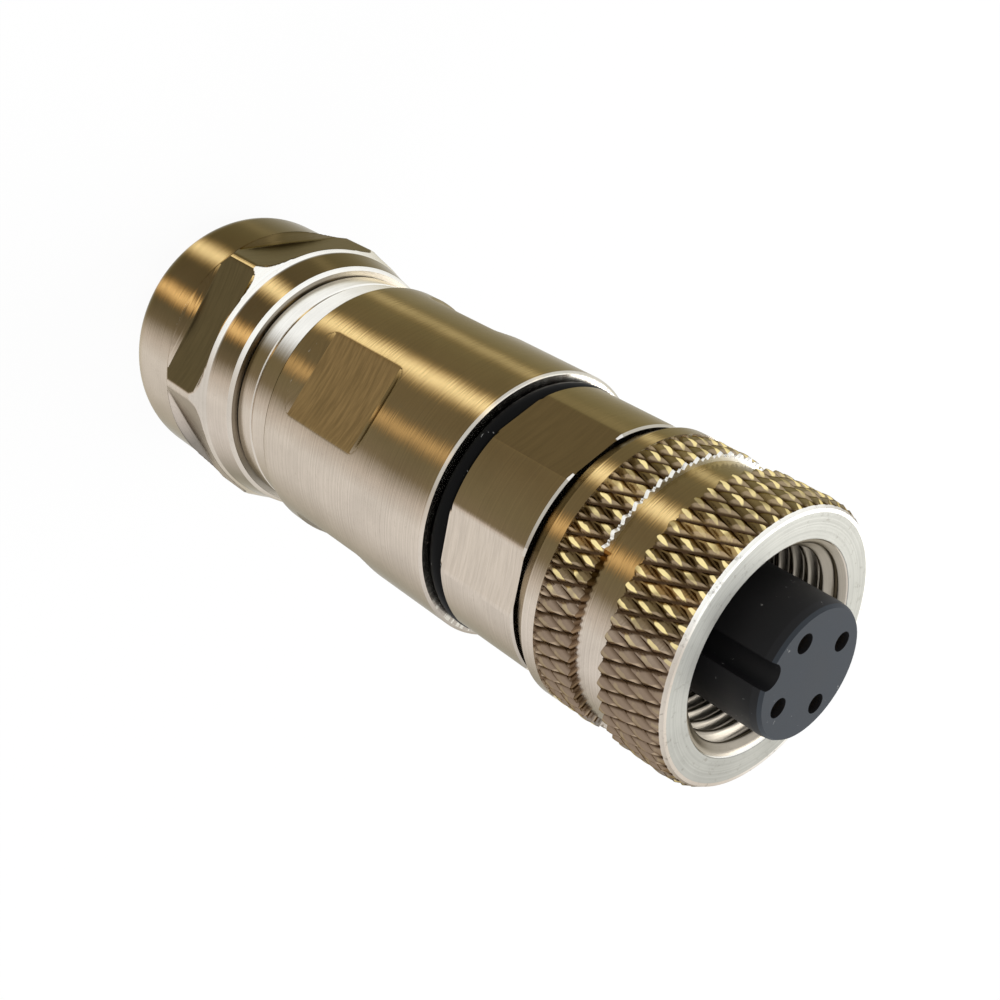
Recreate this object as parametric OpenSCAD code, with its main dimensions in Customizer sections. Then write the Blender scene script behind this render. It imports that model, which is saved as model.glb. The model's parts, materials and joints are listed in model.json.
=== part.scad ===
// Straight M12 cable socket with four contacts, made of turned and plated brass.
// It stands on the rear rim of its pressing screw, with the mating face up.

/* [Pressing screw] */
// Length of the domed head, from the rear rim to its front face
head_len = 12.85; // [11:0.05:15]
// Largest radius of the head
head_r = 9.4; // [9:0.05:11]
// Width across the head's six flats
head_across = 16.5; // [16:0.1:18]
// Turn of the flats about the axis
head_turn = 35.2; // [0:0.1:60]
// Height of the lowest point of the flats
head_flat_low = 5.8; // [4.5:0.1:6.5]
// Height of the highest point of the flats
head_flat_high = 10.3; // [9:0.1:10.6]
// Radius of the run-out at both ends of the flats
head_flat_runout = 0.8; // [0.6:0.1:1.2]
// Radius of the plain land in front of the flats
head_land_r = 8.9; // [8.7:0.05:9.3]
// Length of the plain land, with its front edge
head_land_len = 2.05; // [1:0.05:2.5]
// Radius at the front edge of the head
head_front_r = 8.2; // [7.6:0.05:8.6]
// Outer radius of the flat rear rim
head_rim_r = 7.4; // [6.5:0.1:7.8]
// Radius of the head behind its flats
head_dome_r = 8.85; // [8.5:0.05:9.3]
// Radius of the rounded rear edge
head_edge_r = 2.2; // [1.5:0.1:2.8]
// Radius of the cable entry
entry_r = 4; // [3.5:0.1:4.5]
// Depth of the lead-in cone of the cable entry
entry_lead = 1; // [0.4:0.1:1.6]
// Thickness of the head's rear wall
entry_wall = 3; // [2.4:0.1:4]
// Length of the screw's thread in front of the head
screw_thread_len = 3.75; // [3:0.05:4.3]
// Gap between the head and the sleeve's neck
head_gap = 0.1; // [0.1:0.05:1]

/* [Rear sleeve] */
// Length of the rear sleeve
sleeve_len = 19.3; // [18:0.1:24]
// Outer radius of the sleeve
sleeve_r = 8.45; // [8.3:0.05:9]
// Radius of the sleeve's front lip
sleeve_lip_r = 8.27; // [8.1:0.01:8.4]
// Outer radius of the sleeve's neck
neck_r = 7.95; // [7.8:0.05:8.2]
// Length of the sleeve's neck
neck_len = 3.45; // [3:0.05:5]
// Distance of the neck's groove from the neck's end
neck_groove_at = 1.45; // [1:0.05:2.5]
// Width and depth of the neck's groove
neck_groove = 0.2; // [0.1:0.05:0.3]
// Width across the four wrench flats
wrench_across = 15.9; // [15.4:0.1:16.4]
// Length of the wrench flats, with their run-outs
wrench_len = 8.4; // [6:0.1:9.5]
// Distance of the wrench flats from the neck
wrench_at = 1.25; // [0.6:0.05:2.5]
// Radius of the run-out at both ends of the wrench flats
wrench_runout = 1.25; // [0.8:0.05:2]
// Radius of the wiring chamber
chamber_r = 6.1; // [6:0.05:6.3]
// Radius of the thread for the pressing screw
neck_thread_r = 7; // [6.9:0.02:7.1]
// Radius of the seat for the clamp cage
cage_seat_r = 6.6; // [6.5:0.02:6.7]
// Length of the sleeve's front thread
front_thread_len = 5.3; // [5.1:0.1:7]

/* [Front shell] */
// Outer radius of the front shell
shell_r = 8; // [7.9:0.05:8.3]
// Width across the shell's six shallow flats
shell_across = 15.5; // [15.2:0.1:15.9]
// Length of the shell's outer part
shell_len = 5.95; // [5:0.05:8]
// Width of the chamfer at the shell's front edge
shell_chamfer = 0.25; // [0.1:0.05:0.4]
// Radius of the thread that carries the sleeve
shell_thread_r = 7; // [6.9:0.02:7.1]
// Length of that thread, behind the shell
shell_thread_len = 6.2; // [5.5:0.1:6.3]
// Radius of the bore that holds the terminal block
shell_bore_r = 5.7; // [5.6:0.02:5.8]
// Thickness of the shell's front wall
shell_wall = 1.2; // [1:0.1:2]
// Outer radius of the tube that carries the nut
tube_r = 5; // [4.9:0.02:5.04]
// Inner radius of that tube
tube_bore_r = 4.35; // [4.3:0.01:4.4]
// Radial depth of the clip's groove
clip_groove = 0.3; // [0.2:0.05:0.4]

/* [Coupling nut] */
// Length of the coupling nut
nut_len = 10.5; // [10:0.1:13]
// Outer radius of the nut over its knurls
nut_r = 8.3; // [8.2:0.05:8.8]
// Depth of the smooth band between the knurls
nut_band_depth = 0.5; // [0.3:0.05:0.6]
// Length of the rear rim, with its chamfer
nut_rear_rim = 1.7; // [1.2:0.1:2]
// Length of the rear knurl
nut_rear_knurl = 2.5; // [2:0.1:3]
// Length of the smooth band between the knurls
nut_band_len = 2.15; // [1.8:0.05:3]
// Number of knurl grooves of each hand round the nut
knurl_count = 56; // [40:1:60]
// Length of a knurl's diamond along the nut
knurl_len = 2.56; // [1.6:0.02:3.2]
// Depth of the knurl's grooves
knurl_depth = 0.34; // [0.2:0.02:0.4]
// Turn of the knurl's grooves of each hand, in parts of their spacing
knurl_phase = 0.28; // [0:0.01:1]
// Radial depth of the chamfer at the nut's front edge
nut_chamfer = 0.4; // [0.2:0.05:0.5]
// Length of that chamfer along the nut
nut_chamfer_len = 0.65; // [0.3:0.05:0.8]
// Depth of the chamfer at the nut's rear edge
nut_rear_chamfer = 0.8; // [0.4:0.05:1]
// Radius of the mouth's countersink
nut_mouth_r = 6.2; // [6.05:0.05:6.5]
// Outer radius of the nut's internal thread
nut_thread_r = 6; // [6:0.01:6.02]
// Pitch of the nut's internal thread
nut_pitch = 1; // [0.75:0.25:1.25]
// Length of the internal thread
nut_thread_len = 6.5; // [5:0.1:7]
// Thickness of the nut's inner flange
nut_flange = 1.5; // [1:0.1:2]
// Play of the nut along the shell
nut_play = 0.5; // [0.3:0.05:0.8]
// Gap between the nut and the shell
nut_gap = 0.3; // [0.2:0.05:0.6]

/* [Retaining ring and slip ring] */
// Thickness of the retaining ring
clip_t = 0.5; // [0.4:0.05:0.7]
// Outer radius of the retaining ring
clip_r = 5.4; // [5.3:0.02:5.44]
// Opening of the retaining ring
clip_gap = 1.6; // [1:0.1:3]
// Thickness of the slip ring
slip_t = 1.2; // [0.8:0.1:1.6]
// Outer radius of the slip ring
slip_r = 6.5; // [6.1:0.1:6.9]

/* [Insert and contacts] */
// Radius of the insert's plug
insert_r = 3.9; // [3.8:0.01:3.9]
// Distance that the insert stands out of the nut
insert_proud = 2.5; // [2:0.1:3.5]
// Radial depth of the rounded edge at the insert's face
insert_chamfer = 0.2; // [0.1:0.05:0.35]
// Length of that edge along the insert
insert_nose = 0.6; // [0.2:0.05:0.8]
// Radius of the circle on which the contacts lie
contact_ring_r = 2.5; // [2.45:0.01:2.55]
// Turn of the first contact about the axis
contact_turn = 63.5; // [0:0.5:90]
// Radius of the contact holes in the insert's face
contact_mouth_r = 0.575; // [0.55:0.005:0.65]
// Radius of the contact's pin bore at its inner end
contact_bore_r = 0.54; // [0.52:0.01:0.58]
// Amount by which the sprung socket closes in towards its mouth
socket_grip = 0.08; // [0.02:0.01:0.12]
// Outer radius of the contact's socket
contact_r = 0.85; // [0.75:0.01:0.9]
// Depth of the contact below the insert's face
contact_depth = 0.7; // [0.4:0.05:1]
// Length of the contact's slotted socket
socket_len = 7; // [6:0.1:8]
// Width of the slots in the contacts' sockets
slot_w = 0.25; // [0.2:0.01:0.3]
// Radius of the terminal barrels
barrel_r = 1.3; // [1.2:0.05:1.4]
// Length of the terminal barrels
barrel_len = 10; // [9:0.1:11]
// Radius of the wire hole in a terminal barrel
wire_r = 0.8; // [0.7:0.05:0.9]
// Radius of the terminal screws
set_screw_r = 0.8; // [0.7:0.05:0.9]
// Width and depth of the slots in the terminal screws
screw_slot = 0.5; // [0.3:0.05:0.6]
// Distance of the terminal screws from the block's rear end
set_screw_at = 3.2; // [2:0.1:4]
// Radius of the key groove
key_r = 0.75; // [0.6:0.05:0.9]
// Distance of the key groove's centre from the axis
key_at = 3.65; // [3.5:0.05:3.8]
// Length of the terminal block behind the carrier's flange
block_len = 14; // [12.5:0.1:14.5]
// Length of the carrier's flange inside the shell
carrier_flange = 3.7; // [2.5:0.1:5]
// Diameter of the ring that seals the mating face
face_seal_d = 1; // [0.8:0.05:1.1]

/* [Cable clamp] */
// Inner radius of the clamp cage
cage_bore_r = 4.75; // [4.6:0.05:4.9]
// Wall of the cage's fingers
cage_wall = 0.55; // [0.4:0.05:0.6]
// Thickness of the cage's flange
cage_flange = 1; // [0.8:0.1:1.4]
// Number of the cage's fingers
finger_count = 8; // [6:1:12]
// Width of the gaps between the fingers
finger_gap = 0.9; // [0.5:0.1:1.2]
// Thickness of the shield ring
shield_t = 0.6; // [0.4:0.05:0.8]
// Radius of the grommet's bore
grommet_bore_r = 3.1; // [3:0.05:3.6]
// Height of the thrust washer at its inner edge
washer_t = 1.2; // [0.8:0.1:1.6]
// Inner radius of the thrust washer
washer_bore_r = 4.2; // [4:0.05:4.4]

/* [Seals and fits] */
// Width of the gap that the body seal closes
seal_gap = 1.18; // [1:0.02:1.4]
// Radial play of pieces that turn on each other
run_gap = 0.05; // [0.02:0.01:0.08]
// Play of pieces that sit in each other
seat_gap = 0.05; // [0.02:0.01:0.08]
// Play between the clamp cage's fingers and the pressing screw
cage_gap = 0.45; // [0.3:0.05:0.6]
// Distance of the clamp cage's flange from the pressing screw's thread
cage_lift = 0.4; // [0.2:0.05:0.6]

/* [Hidden] */
$fn = 96;

barrel_recess = 1.2;

// Heights along the axis, from the rear rim up
neck_z = head_len + head_gap;
shoulder_z = neck_z + neck_len;
sleeve_z = neck_z + sleeve_len;
shell_z = sleeve_z + seal_gap;
shell_front_z = shell_z + shell_len;
nut_z = shell_front_z + nut_gap;
nut_face_z = nut_z + nut_len;
insert_z = nut_face_z + insert_proud;
nut_flange_z = shell_front_z + slip_t;
clip_z = nut_flange_z + nut_flange + nut_play;
tube_z = clip_z + clip_t + clip_groove;
carrier_seat_z = shell_front_z - shell_wall;
block_z = carrier_seat_z - carrier_flange;
block_end_z = block_z - block_len;
contact_z = insert_z - contact_depth;
barrel_z = block_end_z + barrel_recess;
screw_top_z = head_len + screw_thread_len;
cage_z = screw_top_z + cage_lift;
shield_z = cage_z + cage_flange;
cage_stop_z = shield_z + shield_t;

// Radii and lengths that follow from the sizes above
touch_gap = 0.02;
screw_thread_r = neck_thread_r - run_gap;
finger_r = cage_bore_r + cage_wall;
screw_bore_r = finger_r + cage_gap;
washer_r = screw_bore_r - run_gap;
washer_slope = 1;
finger_play = 0.25;
finger_end_z = entry_wall + washer_t + (cage_bore_r - washer_bore_r) * washer_slope + finger_play;
thread_height = 0.5413;
nut_minor_r = nut_thread_r - thread_height * nut_pitch;
nut_root_r = nut_r - nut_band_depth;
sleeve_thread_r = shell_thread_r + run_gap;
seal_r = seal_gap / 2 - touch_gap;
seal_ring_r = shell_r - seal_r;
block_r = shell_bore_r - seat_gap;
carrier_r = tube_bore_r - seat_gap;
set_screw_z = block_end_z + set_screw_at;
edge = 0.2;
knurl_fill = 0.94;
far = 30;

brass = [0.83, 0.79, 0.72];
gold = [0.86, 0.70, 0.36];
black = [0.10, 0.10, 0.11];
dark = [0.25, 0.26, 0.28];

// Points of an arc in the half plane of a turned profile
function arc(r, z, radius, from, to, steps = 8) =
    [for (i = [0 : steps]) let (a = from + (to - from) * i / steps)
        [r + radius * cos(a), z + radius * sin(a)]];

// Angle of one of the four contacts about the axis
function contact_angle(index) = contact_turn + 90 * (index - 1);

// Solid turned from a list of points
module turned(points) {
    rotate_extrude() polygon(points);
}

// Plain ring between two radii
module ring(inner_r, outer_r, low, high) {
    turned([[inner_r, low], [outer_r, low], [outer_r, high], [inner_r, high]]);
}

// Cutter of one milled flat on a round body, with a round run-out at both ends
module flat_cutter(body_r, apothem, low, high, runout) {
    width = 2 * (sqrt(body_r * body_r - apothem * apothem) + edge);
    translate([apothem, -width / 2, low + runout]) cube([2 * runout, width, high - low - 2 * runout]);
    for (z = [low + runout, high - runout])
        translate([apothem + runout, 0, z]) rotate([90, 0, 0])
            cylinder(r = runout, h = width, center = true);
}

module pressing_screw() {
    flare = 1.4;
    land_z = head_len - head_land_len;
    edge_z = 0.35;
    front_bevel = 0.55;
    crest_rise = 0.9;
    color(brass) difference() {
        turned(concat(
            [[entry_r + entry_lead, 0], [head_rim_r, 0]],
            arc(head_dome_r - head_edge_r, head_edge_r + edge_z, head_edge_r, -50, 0),
            [[head_dome_r, head_flat_low],
             [head_r, head_flat_low + crest_rise],
             [head_r, land_z - flare],
             [head_land_r, land_z],
             [head_front_r + edge_z, head_len - front_bevel],
             [head_front_r, head_len],
             [screw_thread_r, head_len],
             [screw_thread_r, screw_top_z - edge],
             [screw_thread_r - edge, screw_top_z],
             [screw_bore_r, screw_top_z],
             [screw_bore_r, entry_wall],
             [entry_r, entry_wall],
             [entry_r, entry_lead]]));
        for (i = [0 : 5])
            rotate(head_turn + 60 * i)
                flat_cutter(head_r, head_across / 2, head_flat_low, head_flat_high, head_flat_runout);
    }
}

module thrust_washer() {
    top = entry_wall + washer_t;
    color(brass) turned([
        [washer_bore_r, entry_wall],
        [washer_r, entry_wall],
        [washer_r, top + (washer_r - washer_bore_r) * washer_slope],
        [washer_bore_r, top]]);
}

module clamp_cage() {
    root_len = 3.5;
    root_z = cage_z - root_len;
    tip = cage_wall * washer_slope;
    color(black) difference() {
        turned([
            [cage_bore_r, finger_end_z],
            [finger_r, finger_end_z + tip],
            [finger_r, cage_z],
            [cage_seat_r - run_gap, cage_z],
            [cage_seat_r - run_gap, shield_z],
            [cage_bore_r, shield_z]]);
        for (i = [0 : finger_count - 1])
            rotate(360 * i / finger_count)
                translate([grommet_bore_r, -finger_gap / 2, 0]) cube([far, finger_gap, root_z]);
    }
}

module cable_grommet() {
    grommet_r = cage_bore_r - seat_gap;
    low = finger_end_z + edge;
    high = shield_z - edge;
    lip = 0.6;
    color(black) turned([
        [grommet_bore_r + lip, low],
        [grommet_r, low],
        [grommet_r, high],
        [grommet_bore_r + lip, high],
        [grommet_bore_r, high - lip],
        [grommet_bore_r, low + lip]]);
}

module shield_ring() {
    color(brass) ring(cage_bore_r, cage_seat_r - run_gap, shield_z, cage_stop_z);
}

module rear_sleeve() {
    groove_z = neck_z + neck_groove_at;
    flats_z = shoulder_z + wrench_at;
    shoulder = sleeve_r - neck_r;
    thread_z = sleeve_z - front_thread_len;
    color(brass) difference() {
        turned(concat(
            [[neck_thread_r + edge, neck_z],
             [neck_r - edge / 2, neck_z],
             [neck_r, neck_z + edge / 2],
             [neck_r, groove_z],
             [neck_r - neck_groove, groove_z + neck_groove / 2],
             [neck_r, groove_z + neck_groove]],
            arc(neck_r, shoulder_z + shoulder, shoulder, -90, 0),
            [[sleeve_r, sleeve_z - edge],
             [sleeve_lip_r, sleeve_z],
             [sleeve_thread_r + edge, sleeve_z],
             [sleeve_thread_r, sleeve_z - edge],
             [sleeve_thread_r, thread_z],
             [chamber_r, thread_z],
             [chamber_r, cage_stop_z],
             [cage_seat_r, cage_stop_z],
             [cage_seat_r, cage_z - edge],
             [neck_thread_r, cage_z - edge],
             [neck_thread_r, neck_z + edge]]));
        for (i = [0 : 3])
            rotate(90 * i)
                flat_cutter(sleeve_r, wrench_across / 2, flats_z, flats_z + wrench_len, wrench_runout);
    }
}

module body_seal() {
    color(black) rotate_extrude() translate([seal_ring_r, sleeve_z + seal_gap / 2]) circle(seal_r);
}

module front_shell() {
    relief_r = seal_ring_r - seal_r - touch_gap;
    thread_end_z = shell_z - shell_thread_len;
    groove_z = clip_z - touch_gap;
    groove_top_z = clip_z + clip_t + touch_gap;
    rim = 0.12;
    color(brass) intersection() {
        turned([
            [shell_bore_r, thread_end_z],
            [shell_thread_r - edge, thread_end_z],
            [shell_thread_r, thread_end_z + edge],
            [shell_thread_r, sleeve_z - edge],
            [relief_r, sleeve_z],
            [relief_r, shell_z],
            [shell_r - rim, shell_z],
            [shell_r, shell_z + rim],
            [shell_r, shell_front_z - shell_chamfer],
            [shell_r - shell_chamfer, shell_front_z],
            [tube_r, shell_front_z],
            [tube_r, groove_z],
            [tube_r - clip_groove, groove_z],
            [tube_r - clip_groove, groove_top_z],
            [tube_r, groove_top_z],
            [tube_r, tube_z - edge / 2],
            [tube_r - edge / 2, tube_z],
            [tube_bore_r, tube_z],
            [tube_bore_r, carrier_seat_z],
            [shell_bore_r, carrier_seat_z]]);
        translate([0, 0, thread_end_z - edge])
            rotate(30) cylinder(r = shell_across / 2 / cos(30), h = far, $fn = 6);
    }
}

// Axis of a terminal screw, from the wire out through the block
module screw_axis(index, radius, from, length) {
    rotate(contact_angle(index)) translate([from, 0, set_screw_z])
        rotate([0, 90, 0]) cylinder(r = radius, h = length);
}

module terminal_block() {
    wire_mouth = 0.5;
    color(black) difference() {
        turned([
            [0, block_end_z],
            [block_r - edge, block_end_z],
            [block_r, block_end_z + edge],
            [block_r, block_z],
            [0, block_z]]);
        for (i = [1 : 4]) {
            rotate(contact_angle(i)) translate([contact_ring_r, 0, 0]) {
                translate([0, 0, barrel_z]) cylinder(r = barrel_r + seat_gap, h = barrel_len);
                translate([0, 0, block_end_z - 1]) cylinder(r = barrel_r, h = set_screw_at);
                translate([0, 0, block_end_z])
                    cylinder(r1 = barrel_r + wire_mouth / 2, r2 = barrel_r, h = wire_mouth);
                cylinder(r = contact_r + seat_gap, h = block_z + 1);
            }
            screw_axis(i, set_screw_r + seat_gap, contact_ring_r, far);
        }
    }
}

module contact_carrier() {
    socket_z = contact_z - edge;
    color(dark) difference() {
        turned([
            [0, block_z],
            [block_r, block_z],
            [block_r, carrier_seat_z],
            [carrier_r, carrier_seat_z],
            [carrier_r, tube_z],
            [insert_r, tube_z],
            [insert_r, insert_z - insert_nose],
            [insert_r - insert_chamfer / 3, insert_z - insert_nose / 3],
            [insert_r - insert_chamfer, insert_z],
            [0, insert_z]]);
        for (i = [1 : 4])
            rotate(contact_angle(i)) translate([contact_ring_r, 0, 0]) {
                translate([0, 0, block_z - 1]) cylinder(r = contact_mouth_r, h = far);
                translate([0, 0, block_z - 1])
                    cylinder(r = contact_r + seat_gap, h = contact_z + seat_gap - block_z + 1);
            }
        rotate(contact_turn + 45) translate([key_at, 0, tube_z + face_seal_d]) {
            cylinder(r = key_r, h = far);
            translate([0, -key_r, 0]) cube([far, 2 * key_r, far]);
        }
    }
}

module face_seal() {
    flat = 0.1;
    centre_z = tube_z + face_seal_d / 2 - flat;
    color(black) rotate_extrude() intersection() {
        translate([insert_r + face_seal_d / 2 + touch_gap, centre_z]) circle(d = face_seal_d);
        translate([0, tube_z]) square([far, far]);
    }
}

// Socket in front, shank through the carrier and barrel with a screw behind
module contact(index) {
    tip_r = contact_bore_r - socket_grip;
    color(gold) rotate(contact_angle(index)) translate([contact_ring_r, 0, 0]) difference() {
        union() {
            translate([0, 0, barrel_z]) cylinder(r = barrel_r, h = barrel_len);
            translate([0, 0, barrel_z]) cylinder(r = contact_r, h = contact_z - barrel_z);
        }
        translate([0, 0, contact_z - socket_len])
            cylinder(r1 = contact_bore_r, r2 = tip_r, h = socket_len);
        translate([0, 0, contact_z - tip_r]) cylinder(r1 = tip_r, r2 = 2 * tip_r, h = 2 * tip_r);
        translate([-slot_w / 2, -far / 2, contact_z - socket_len + 1]) cube([slot_w, far, far]);
        translate([0, 0, barrel_z - 1]) cylinder(r = wire_r, h = set_screw_at + 2);
        translate([0, 0, set_screw_z]) rotate([0, 90, 0]) cylinder(r = set_screw_r + touch_gap, h = far);
    }
}

module terminal_screw(index) {
    screw_lift = 0.3;
    from = contact_ring_r + screw_lift;
    length = block_r - edge - from;
    color(brass) difference() {
        screw_axis(index, set_screw_r, from, length);
        rotate(contact_angle(index))
            translate([from + length - screw_slot, -screw_slot / 2, set_screw_z - far / 2])
                cube([far, screw_slot, far]);
    }
}

module nut_slip_ring() {
    color(black) ring(tube_r + run_gap, slip_r, shell_front_z, nut_flange_z);
}

module nut_clip() {
    color(brass) difference() {
        ring(tube_r - clip_groove + touch_gap, clip_r, clip_z, clip_z + clip_t);
        rotate(contact_turn + 180) translate([0, -clip_gap / 2, 0]) cube([far, clip_gap, 2 * far]);
    }
}

// Grooves of both hands round the nut, from one height to another
module knurl_grooves(low, high) {
    pitch = 2 * PI * nut_r / knurl_count;
    lean = atan(pitch / knurl_len);
    reach = (high - low) / cos(lean) + 4 * edge;
    widen = 1.2;
    hand_step = 0.02;
    top = widen * knurl_depth;
    half_width = widen * knurl_fill * pitch * cos(lean) / 2;
    for (i = [0 : knurl_count - 1], hand = [-1, 1])
        rotate(360 * (i + 0.5 + hand * knurl_phase) / knurl_count)
            translate([nut_r - knurl_depth + (hand + 1) * hand_step, 0, (low + high) / 2])
                rotate([hand * lean, 0, 0])
                    linear_extrude(reach, center = true)
                        polygon([[0, 0], [top, half_width], [top, -half_width]]);
}

module coupling_nut() {
    rear_knurl_z = nut_z + nut_rear_rim;
    band_z = rear_knurl_z + nut_rear_knurl;
    front_knurl_z = band_z + nut_band_len;
    thread_z = nut_face_z - nut_thread_len;
    relief_r = nut_thread_r + 0.1;
    flange_top_z = nut_flange_z + nut_flange;
    rear_bore_r = slip_r + run_gap;
    core_r = nut_root_r - edge;
    color(brass) {
        turned([
            [rear_bore_r, nut_z],
            [nut_r - nut_rear_chamfer * 0.6, nut_z],
            [nut_r, nut_z + nut_rear_chamfer],
            [nut_r, rear_knurl_z],
            [nut_root_r, rear_knurl_z],
            [nut_root_r, nut_face_z],
            [nut_mouth_r, nut_face_z],
            [nut_minor_r, nut_face_z - (nut_mouth_r - nut_minor_r)],
            [nut_minor_r, thread_z],
            [relief_r, thread_z],
            [relief_r, flange_top_z],
            [tube_r + run_gap, flange_top_z],
            [tube_r + run_gap, nut_flange_z],
            [rear_bore_r, nut_flange_z]]);
        difference() {
            ring(core_r, nut_r, rear_knurl_z, band_z);
            knurl_grooves(rear_knurl_z, band_z);
        }
        difference() {
            turned([
                [core_r, front_knurl_z],
                [nut_r, front_knurl_z],
                [nut_r, nut_face_z - nut_chamfer_len],
                [nut_r - nut_chamfer, nut_face_z],
                [core_r, nut_face_z]]);
            knurl_grooves(front_knurl_z, nut_face_z);
        }
    }
}

pressing_screw();
thrust_washer();
clamp_cage();
cable_grommet();
shield_ring();
rear_sleeve();
body_seal();
front_shell();
terminal_block();
contact_carrier();
face_seal();
contact(1);  // contact_1
contact(2);  // contact_2
contact(3);  // contact_3
contact(4);  // contact_4
terminal_screw(1);  // terminal_screw_1
terminal_screw(2);  // terminal_screw_2
terminal_screw(3);  // terminal_screw_3
terminal_screw(4);  // terminal_screw_4
nut_slip_ring();
nut_clip();
coupling_nut();
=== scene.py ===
import json
import math

import bmesh
import bpy
from mathutils import Matrix, Vector


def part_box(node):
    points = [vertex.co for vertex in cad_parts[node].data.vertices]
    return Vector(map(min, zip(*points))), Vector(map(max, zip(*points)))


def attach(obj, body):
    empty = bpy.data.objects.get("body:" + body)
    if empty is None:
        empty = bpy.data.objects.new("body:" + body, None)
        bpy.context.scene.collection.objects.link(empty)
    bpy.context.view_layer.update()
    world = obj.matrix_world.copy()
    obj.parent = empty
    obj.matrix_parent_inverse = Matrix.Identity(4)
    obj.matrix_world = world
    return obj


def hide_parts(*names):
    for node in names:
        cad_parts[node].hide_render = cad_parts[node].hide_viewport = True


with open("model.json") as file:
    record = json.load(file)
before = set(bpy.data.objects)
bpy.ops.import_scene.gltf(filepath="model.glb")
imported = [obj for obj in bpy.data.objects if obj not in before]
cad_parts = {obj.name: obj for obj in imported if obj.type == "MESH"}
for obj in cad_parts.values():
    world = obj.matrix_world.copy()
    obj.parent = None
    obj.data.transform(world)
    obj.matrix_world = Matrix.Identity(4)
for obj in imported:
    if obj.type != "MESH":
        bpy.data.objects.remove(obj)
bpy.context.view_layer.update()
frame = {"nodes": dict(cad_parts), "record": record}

mm = 0.001
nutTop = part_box("coupling_nut")[1].z / mm
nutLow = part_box("coupling_nut")[0].z / mm
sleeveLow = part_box("rear_sleeve")[0].z / mm
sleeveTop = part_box("rear_sleeve")[1].z / mm
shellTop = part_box("nut_slip_ring")[0].z / mm


# Camera, fitted to the photograph; its place is in millimetres from the nut's front face
camera = {
    "eye": (-0.629, 65.583, 33.598),
    "lookDown": 39.42,
    "roll": 121.39,
    "lens": 51.19,
    "sensor": 36.0,
}


def makeCamera():
    data = bpy.data.cameras.new("studioCamera")
    data.lens = camera["lens"]
    data.sensor_width = camera["sensor"]
    data.clip_start = 0.001
    data.clip_end = 10
    seat = bpy.data.objects.new("studioCamera", data)
    bpy.context.collection.objects.link(seat)
    eye = Vector(camera["eye"]) + Vector((0, 0, nutTop))
    faceMinusY = Matrix.Rotation(math.pi, 4, "Z")
    tip = Matrix.Rotation(math.radians(90 - camera["lookDown"]), 4, "X")
    roll = Matrix.Rotation(math.radians(camera["roll"]), 4, "Z")
    seat.matrix_world = Matrix.Translation(eye * mm) @ faceMinusY @ tip @ roll
    bpy.context.scene.camera = seat
    print("camera set")


# Mesh helpers; profiles are in millimetres, and slack is how far a choice of points reaches past a wall
slack = 0.1
roundFrom = 0.02  # rise past which a milled point belongs to the round that a flat runs out on
threadForm = {"crest": 0.16, "slope": 0.66, "fade": 0.4}


# Breaks long stretches of a profile; a point with a third value uses it as its own step
def stepped(points, step):
    rows = []
    for here, after in zip(points, points[1:] + points[:1]):
        gap = here[2] if len(here) > 2 else step
        length = math.dist(here[:2], after[:2])
        count = max(1, round(length / gap))
        for i in range(count):
            rows.append([here[k] + (after[k] - here[k]) * i / count for k in (0, 1)])
    return rows


def arc(r, z, radius, start, end, count=6):
    turns = [math.radians(start + (end - start) * i / count) for i in range(count + 1)]
    return [(r + radius * math.cos(a), z + radius * math.sin(a), 1) for a in turns]


# Spins a closed profile of (radius, height) points about the axis
def turned(points, segments):
    bm = bmesh.new()
    rows = [bm.verts.new((r * mm, 0, z * mm)) for r, z in points]
    rim = [bm.edges.new((a, b)) for a, b in zip(rows, rows[1:] + rows[:1])]
    bmesh.ops.spin(
        bm, geom=rows + rim, cent=(0, 0, 0), axis=(0, 0, 1), dvec=(0, 0, 0),
        angle=2 * math.pi, steps=segments, use_merge=True, use_duplicate=False,
    )
    bmesh.ops.recalc_face_normals(bm, faces=bm.faces)
    return bm


# Pulls the outside in to flats: material 1 on the flats, the last one on the rounds they run out on
def millFlats(bm, count, turn, apothem, low, high, runout, within, last=1):
    part = 2 * math.pi / count
    milled, rounded = set(), set()
    for v in bm.verts:
        r = math.hypot(v.co.x, v.co.y) / mm
        z = v.co.z / mm
        if r < within or not low < z < high:
            continue
        a = math.atan2(v.co.y, v.co.x) - math.radians(turn)
        off = (a + part / 2) % part - part / 2
        end = max(0.0, low + runout - z, z - high + runout) if runout else 0.0
        rise = runout - math.sqrt(max(0.0, runout**2 - end**2)) if runout else 0.0
        most = (apothem + rise) / math.cos(off)
        if r > most:
            v.co.x *= most / r
            v.co.y *= most / r
            (rounded if rise > roundFrom else milled).add(v)
    for f in bm.faces:
        if any(v in rounded for v in f.verts):
            f.material_index = last
        elif any(v in milled for v in f.verts):
            f.material_index = 1


# Sinks a right-hand thread into the wall that lies between two radii
def cutThread(bm, radii, ends, pitch, depth, phase, outward):
    (inside, outside), (low, high) = radii, ends
    fadeLength = threadForm["fade"] * pitch
    for v in bm.verts:
        r = math.hypot(v.co.x, v.co.y) / mm
        z = v.co.z / mm
        if not (inside < r < outside and low <= z <= high):
            continue
        turn = math.atan2(v.co.y, v.co.x) / (2 * math.pi)
        along = abs(((z - phase) / pitch - turn + 0.5) % 1 - 0.5) * 2
        groove = min(1.0, max(0.0, (along - threadForm["crest"]) / threadForm["slope"]))
        fade = min(1.0, (z - low) / fadeLength, (high - z) / fadeLength)
        move = (1 if outward else -1) * depth * groove * max(0.0, fade)
        v.co.x *= 1 + move / r
        v.co.y *= 1 + move / r


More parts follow.
